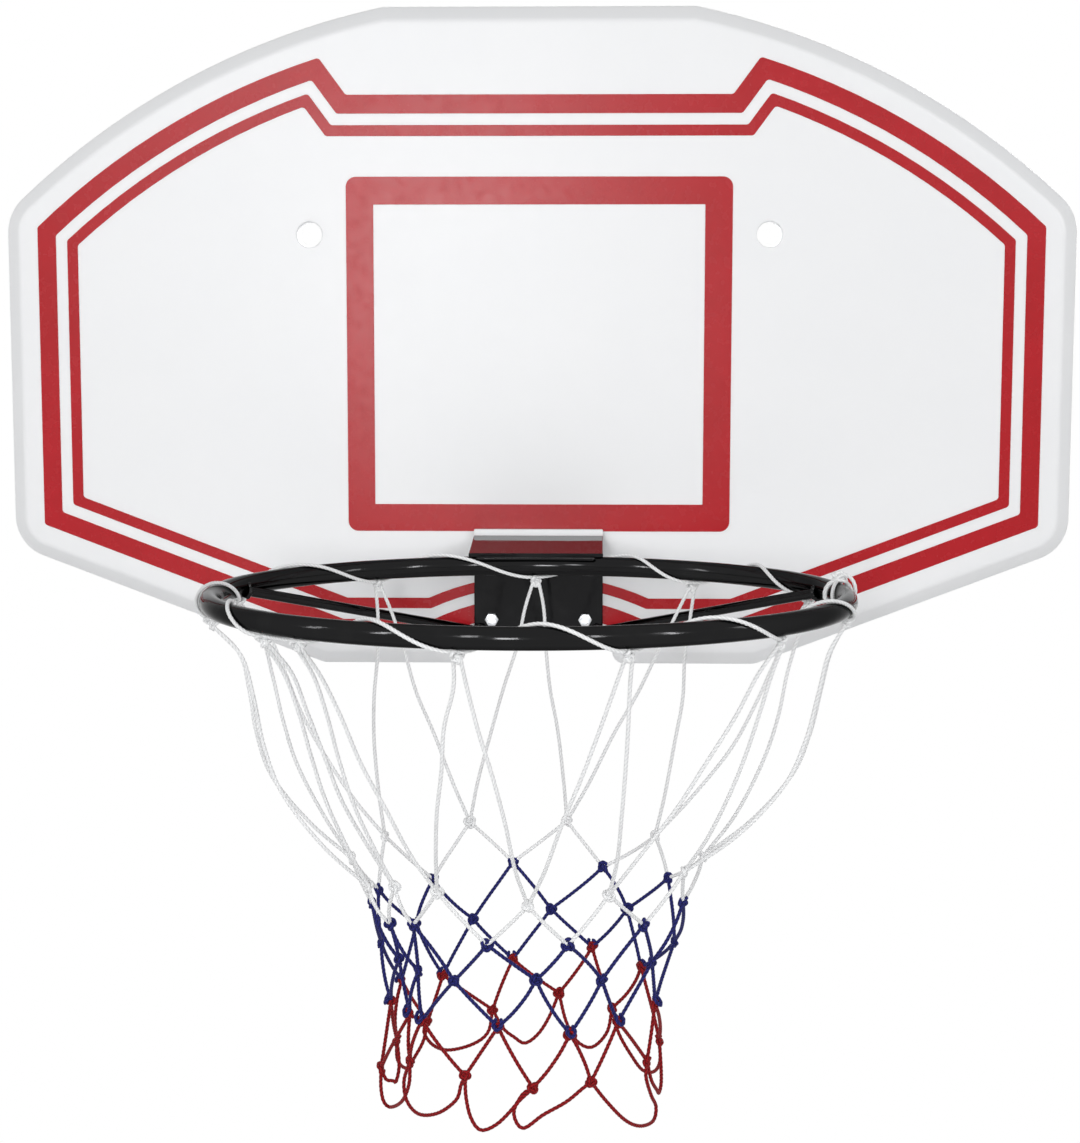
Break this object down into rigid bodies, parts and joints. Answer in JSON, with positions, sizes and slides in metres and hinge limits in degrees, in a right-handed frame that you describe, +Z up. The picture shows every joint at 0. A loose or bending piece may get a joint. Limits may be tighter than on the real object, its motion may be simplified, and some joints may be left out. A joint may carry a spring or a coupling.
{
  "type": "basketball backboard",
  "caption": "Wall-hung moulded basketball backboard with red target and border, black steel ring on a bolted bracket with braces, and a hanging knotted net.",
  "frame": {"origin": "on the board's back plane, midway between the two wall holes", "axes": "+X to the right of someone facing the board, +Y from the face into the wall, +Z up"},
  "size_m": [0.904, 0.5948, 0.8345],
  "materials": {
    "board_white": "white moulded plastic, satin",
    "band_red": "red printed film, smooth",
    "black_steel": "black gloss paint on steel",
    "zinc": "bright zinc plate",
    "cord_white": "white twisted cord",
    "cord_blue": "blue twisted cord",
    "cord_red": "red twisted cord"
  },
  "bodies": {
    "backboard": {"board_shell": "board_white", "target_band": "band_red", "outer_border_band": "band_red", "inner_border_band": "band_red", "bracket_plate": "black_steel", "bracket_shelf": "black_steel", "ring_rod": "black_steel", "brace_rod_left": "black_steel", "brace_rod_right": "black_steel", "bracket_bolts": "zinc", "bracket_washers": "zinc", "bracket_lock_washers": "zinc", "bracket_nuts": "zinc", "net_lacing_cord": "cord_white", "net_tie_knot": "cord_white", "net_head_knots": "cord_white"},
    "net": {"net_top_strands": "cord_white", "net_white_row": "cord_white", "net_blue_upper_row": "cord_blue", "net_blue_lower_row": "cord_blue", "net_red_row": "cord_red", "net_red_loops": "cord_red", "net_knots_row_1": "cord_white", "net_knots_row_2": "cord_blue", "net_knots_row_3": "cord_blue", "net_knots_row_4": "cord_red", "net_knots_row_5": "cord_red"}
  },
  "joints": [
    {"name": "net_sway", "type": "hinge", "parent": "backboard", "child": "net", "pos_m": [0, -0.353, -0.27], "axis": [1, 0, 0], "range_deg": [-14, 14], "deforming": ["net_top_strands"]}
  ]
}
